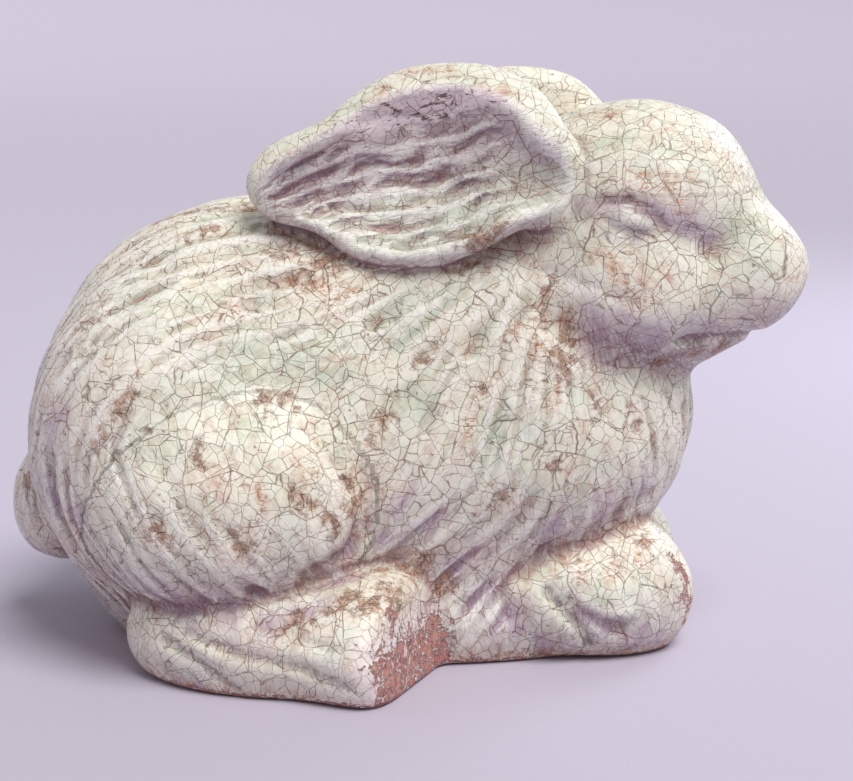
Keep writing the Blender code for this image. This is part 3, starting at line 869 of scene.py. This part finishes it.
def crackleGlaze():
    material = bpy.data.materials.new("crackle glaze")
    material.use_nodes = True
    tree = material.node_tree
    shader = tree.nodes["Principled BSDF"]
    place = mapped(tree, addNode(tree, "ShaderNodeTexCoord").outputs["Object"], (1000, 1000, 1000))
    lay = mapped(tree, stored(tree, "lay", "Vector"), (1, 0.22, 0.5))

    hollow, crease = stored(tree, "hollow"), stored(tree, "crease")
    gouged, shade = stored(tree, "gouged"), stored(tree, "shade")
    cloud = noise(tree, place, 0.05, 3.0, 0.6)
    patch = noise(tree, place, 0.16, 4.0, 0.65)
    blotch = noise(tree, place, 0.42, 3.0, 0.6)
    speck = noise(tree, place, 0.9, 3.0, 0.6)
    wash = noise(tree, lay, 0.4, 4.0, 0.7)
    streak = noise(tree, lay, 1.1, 3.0, 0.65)
    fineStreak = noise(tree, lay, 2.4, 2.0, 0.6)
    valley = ramp(tree, hollow, 0.05, 0.65)
    # painted highlight: the raised ridges between the strokes, whitened below and with fainter cracks
    ridge = times(tree, ramp(tree, hollow, -0.05, -0.45), ramp(tree, gouged, 0, 1, 0.4, 1))

    group = crackleGroup()
    openNet, closeNet = (
        addNode(tree, "ShaderNodeGroup", dict(crackle[name], Vector=place), node_tree=group).outputs
        for name in ("open", "close")
    )
    tint = openNet["Tint"]

    # the glaze itself: cream, green where it ran together, lilac wash and painted shade low down, white
    # where it was wiped and as a painted highlight on the ridges
    green = plus(tree, ramp(tree, cloud, 0.42, 0.62, 0, 0.55), times(tree, stored(tree, "green"), 0.8))
    green = plus(tree, green, times(tree, valley, 0.35))
    green = times(tree, green, ramp(tree, blotch, 0.3, 0.6, 0.35, 1), True)
    colour = mixed(tree, green, glaze["cream"], glaze["sage"])
    colour = mixed(tree, ramp(tree, tint, 0.2, 1, 0, 0.3), colour, glaze["white"])
    blush = plus(tree, ramp(tree, wash, 0.48, 0.66, 0, 0.5), ramp(tree, crease, 0.1, 0.9, 0, 0.6))
    warm = larger(tree, stored(tree, "rust"), stored(tree, "rub"))
    blush = plus(tree, blush, times(tree, warm, 0.6))
    blush = plus(tree, blush, ramp(tree, tint, 0.0, 0.35, 0.22, 0))
    blush = times(tree, blush, ramp(tree, blotch, 0.34, 0.6, 0.2, 1), True)
    colour = mixed(tree, blush, colour, glaze["blush"])
    # painted shade and painted bounce light: lilac wherever the shade mask is, a little more in the
    # valleys
    lilacAndShade = times(tree, shade, ramp(tree, valley, 0, 1, 0.8, 1.0))
    lilacAndShade = plus(tree, stored(tree, "lilacAndShade"), lilacAndShade)
    lilacAndShade = times(tree, lilacAndShade, ramp(tree, streak, 0.3, 0.62, 0.5, 1), True)
    colour = mixed(tree, times(tree, lilacAndShade, cover["lilacAndShade"]), colour, glaze["lilacAndShade"])
    # white: glaze wiped off in patches, and the painted highlight on the ridges
    wipedAndHighlit = larger(tree, ridge, ramp(tree, wash, 0.46, 0.36, 0, 0.5))
    wipedAndHighlit = times(tree, wipedAndHighlit, ramp(tree, patch, 0.36, 0.56, 0.4, 1))
    wipedAndHighlit = larger(tree, wipedAndHighlit, stored(tree, "pale"))
    wipedAndHighlit = times(tree, wipedAndHighlit, ramp(tree, fineStreak, 0.3, 0.58, 0.3, 1), True)
    colour = mixed(tree, times(tree, wipedAndHighlit, cover["wipedAndHighlit"]), colour, glaze["white"])

    # dark mauve: the wash that stayed in the hollows and the dark spots, with painted shade that deepens
    # it in the valleys and creases on the shaded side and lays it over the shaded parts
    darkAndShade = times(tree, valley, ramp(tree, shade, 0, 1, 0.36, 0.66))
    darkAndShade = plus(tree, stored(tree, "darkAndShade"), darkAndShade)
    darkAndShade = plus(tree, darkAndShade, times(tree, crease, ramp(tree, shade, 0, 1, 0.15, 0.95)))
    darkAndShade = plus(tree, darkAndShade, ramp(tree, shade, 0.35, 1, 0, 0.32))
    darkAndShade = times(tree, darkAndShade, ramp(tree, streak, 0.32, 0.6, 0.25, 1), True)
    colour = mixed(tree, times(tree, darkAndShade, cover["mauveAndShade"]), colour, glaze["mauveAndShade"])

    # columns of short level dashes where fingers rubbed, and the brown that more rubbing has laid open
    columns = noise(tree, mapped(tree, place, (0.75, 0.75, 0.08)), 1.0)
    level = noise(tree, mapped(tree, place, (0.95, 0.95, 2.3)), 1.0)
    dashes = times(tree, ramp(tree, columns, 0.42, 0.56, 0.25, 1), ramp(tree, level, 0.48, 0.58))
    rust = plus(tree, stored(tree, "rust"), ramp(tree, cloud, 0.5, 0.35, 0, 0.3))
    rust = times(tree, times(tree, rust, dashes), cover["rust"], True)
    colour = mixed(tree, rust, colour, glaze["rust"])
    rub = plus(tree, stored(tree, "rub"), ramp(tree, patch, 0.6, 0.78, 0, 0.35))
    rub = plus(tree, rub, ramp(tree, crease, 0.4, 1.0, 0, 0.12))
    uneven = plus(tree, ramp(tree, tint, 0, 1, -0.15, 0.15), ramp(tree, blotch, 0.3, 0.7, -0.3, 0.3))
    rub = ramp(tree, plus(tree, rub, uneven), 0.25, 0.95)
    rubColour = mixed(tree, ramp(tree, streak, 0.35, 0.6), glaze["brown"], glaze["rust"])
    colour = mixed(tree, times(tree, rub, ramp(tree, speck, 0.3, 0.6, 0.3, 0.7)), colour, rubColour)

    # where the glaze flaked: pinkish white with torn edges and small dark pits
    flaked = stored(tree, "flaked")
    torn = noise(tree, lay, 0.85, 4.0, 0.7)
    pink = times(tree, flaked, ramp(tree, torn, 0.36, 0.5, 0.45, 1))
    colour = mixed(tree, pink, colour, glaze["pink"])
    pits = times(tree, ramp(tree, torn, 0.565, 0.6), ramp(tree, flaked, 0.35, 0.8))

    # cracks: an open net, and a closer one in parts, fainter under the ridges' painted highlight
    fade = maths(tree, "SUBTRACT", 1.0, times(tree, ridge, 0.6))
    strength = times(tree, fade, ramp(tree, speck, 0.3, 0.6, 0.55, 1))
    inner = times(tree, closeNet["Line"], ramp(tree, patch, 0.5, 0.64, 0, 0.7))
    lines = times(tree, larger(tree, openNet["Line"], inner), strength)
    redder = plus(tree, blush, times(tree, lilacAndShade, 0.7), True)
    crackColour = mixed(tree, redder, glaze["crack"], glaze["redCrack"])
    colour = mixed(tree, times(tree, lines, cover["cracks"]), colour, crackColour)
    colour = mixed(tree, times(tree, pits, cover["chips"]), colour, glaze["chip"])

    # bare clay with crumbs of glaze on it
    ragged = ramp(tree, blotch, 0.3, 0.7, -0.3, 0.3)
    ragged = plus(tree, ramp(tree, speck, 0.3, 0.7, -0.25, 0.25), ragged)
    bare = ramp(tree, plus(tree, stored(tree, "bare"), ragged), 0.4, 0.6)
    turned = mapped(tree, place, (1, 1, 1), (0.6, 0.4, 0.9))
    crumbs = ramp(tree, noise(tree, turned, 0.4, 5.0, 0.75, 1.4), 0.49, 0.58)
    grit = noise(tree, turned, 0.7, 3.0, 0.7)
    clayColour = mixed(tree, ramp(tree, blotch, 0.3, 0.7, 0, 0.7), glaze["terracotta"], glaze["blush"])
    clayColour = mixed(tree, ramp(tree, grit, 0.48, 0.36, 0, 0.6), clayColour, glaze["redCrack"])
    glazed = times(tree, crumbs, ramp(tree, blotch, 0.35, 0.65, 0.25, 0.9))
    clayColour = mixed(tree, glazed, clayColour, glaze["pink"])
    colour = mixed(tree, bare, colour, clayColour)

    worn = larger(tree, bare, times(tree, rub, 0.6))
    rough = plus(tree, ramp(tree, worn, 0, 1, *sheen["rough"]), ramp(tree, speck, 0.3, 0.7, -0.06, 0.12))
    height = times(tree, lines, -sheen["crackDepth"])
    height = plus(tree, height, times(tree, streak, ramp(tree, gouged, 0, 1, 0.25, 1.2)))
    height = plus(tree, height, times(tree, speck, 0.14))
    height = plus(tree, height, times(tree, worn, maths(tree, "SUBTRACT", crumbs, 1.0)))
    values = {"Height": height, "Strength": 1.0, "Distance": sheen["relief"]}
    bump = addNode(tree, "ShaderNodeBump", values).outputs[0]
    coat = ramp(tree, worn, 0, 1, sheen["coat"], 0)
    made = {"Base Color": colour, "Roughness": rough, "Coat Weight": coat, "Normal": bump}
    for name, socket in made.items():
        tree.links.new(socket, shader.inputs[name])
    shader.inputs["Coat Roughness"].default_value = sheen["coatRough"]
    shader.inputs["Specular IOR Level"].default_value = sheen["specular"]
    return material


studio = {
    "target": (0.007, 0, 0.060),
    "far": 0.45,
    "elevation": 12,
    "lens": 36 * 1800 / 853,
    "floor": (0.52, 0.475, 0.56, 1),
    "floorRim": ((0, 0, 0), (2.2, 0, 0), (2.7, 0, 0.06), (3.0, 0, 0.25), (3.2, 0, 0.9)),
    "floorRough": 0.8,
    "sky": (0.95, 0.95, 1, 1),
    "daylight": 0.40,
    "keyPower": 2.6,
    "keyFrom": (0.35, -0.45, 1.0),
    "keySpread": 30,
    "glowPower": 1.5,
    "glowAt": (0.45, 0.4, 0.4),
    "glowTo": (0, 0, 0.08),
    "glowSize": 0.3,
    "glowColour": (0.82, 0.88, 1.0),
}


def makeStudio(collection):
    work = bmesh.new()  # a flat floor that turns up far away, all round
    rim = [work.verts.new(place) for place in studio["floorRim"]]
    edges = [work.edges.new(pair) for pair in zip(rim, rim[1:])]
    bmesh.ops.spin(work, geom=rim + edges, axis=(0, 0, 1), angle=math.tau, steps=96, use_merge=True)
    bmesh.ops.remove_doubles(work, verts=work.verts[:], dist=1e-4)
    bmesh.ops.recalc_face_normals(work, faces=work.faces[:])
    mesh = bpy.data.meshes.new("floor")
    work.to_mesh(mesh)
    work.free()
    floor = newObject("floor", mesh, collection)
    material = bpy.data.materials.new("pale floor")
    material.use_nodes = True
    shader = material.node_tree.nodes["Principled BSDF"]
    shader.inputs["Base Color"].default_value = studio["floor"]
    shader.inputs["Roughness"].default_value = studio["floorRough"]
    mesh.materials.append(material)
    mesh.shade_smooth()
    floor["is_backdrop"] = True

    world = bpy.data.worlds.new("studio")
    world.use_nodes = True
    sky = world.node_tree.nodes["Background"].inputs
    sky["Color"].default_value = studio["sky"]
    sky["Strength"].default_value = studio["daylight"]
    bpy.context.scene.world = world
    key = bpy.data.lights.new("key", "SUN")
    key.energy = studio["keyPower"]
    key.angle = math.radians(studio["keySpread"])
    lamp = newObject("key", key, collection)
    lamp.rotation_euler = (-Vector(studio["keyFrom"])).to_track_quat("-Z", "Y").to_euler()
    glow = bpy.data.lights.new("glow", "AREA")  # the window that shows in the glaze
    glow.energy = studio["glowPower"]
    glow.size = studio["glowSize"]
    glow.color = studio["glowColour"]
    lamp = newObject("glow", glow, collection)
    lamp.location = studio["glowAt"]
    towards = Vector(studio["glowTo"]) - Vector(studio["glowAt"])
    lamp.rotation_euler = towards.to_track_quat("-Z", "Y").to_euler()
    bpy.context.scene.view_settings.view_transform = "Standard"

    camera = bpy.data.cameras.new("camera")
    camera.lens = studio["lens"]
    camera.clip_start = 0.01
    viewer = newObject("camera", camera, collection)
    rise = math.radians(studio["elevation"])
    back = Vector((0, -math.cos(rise), math.sin(rise)))
    viewer.location = Vector(studio["target"]) + back * studio["far"]
    viewer.rotation_euler = (math.radians(90) - rise, 0, 0)
    bpy.context.scene.camera = viewer


collection = bpy.data.collections.new("rabbit figurine scene")
bpy.context.scene.collection.children.link(collection)
makeStudio(collection)
rabbitSkin = makeRabbit(collection)
rabbitSkin.data.materials.clear()
rabbitSkin.data.materials.append(crackleGlaze())
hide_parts("rabbit_figurine")
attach(rabbitSkin, "root")
print("rabbit done:", len(rabbitSkin.data.vertices), "points")

boxes = {"cad": cadBox, "visual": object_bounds()}
boxes = {name: [list(map(float, corner)) for corner in box] for name, box in boxes.items()}
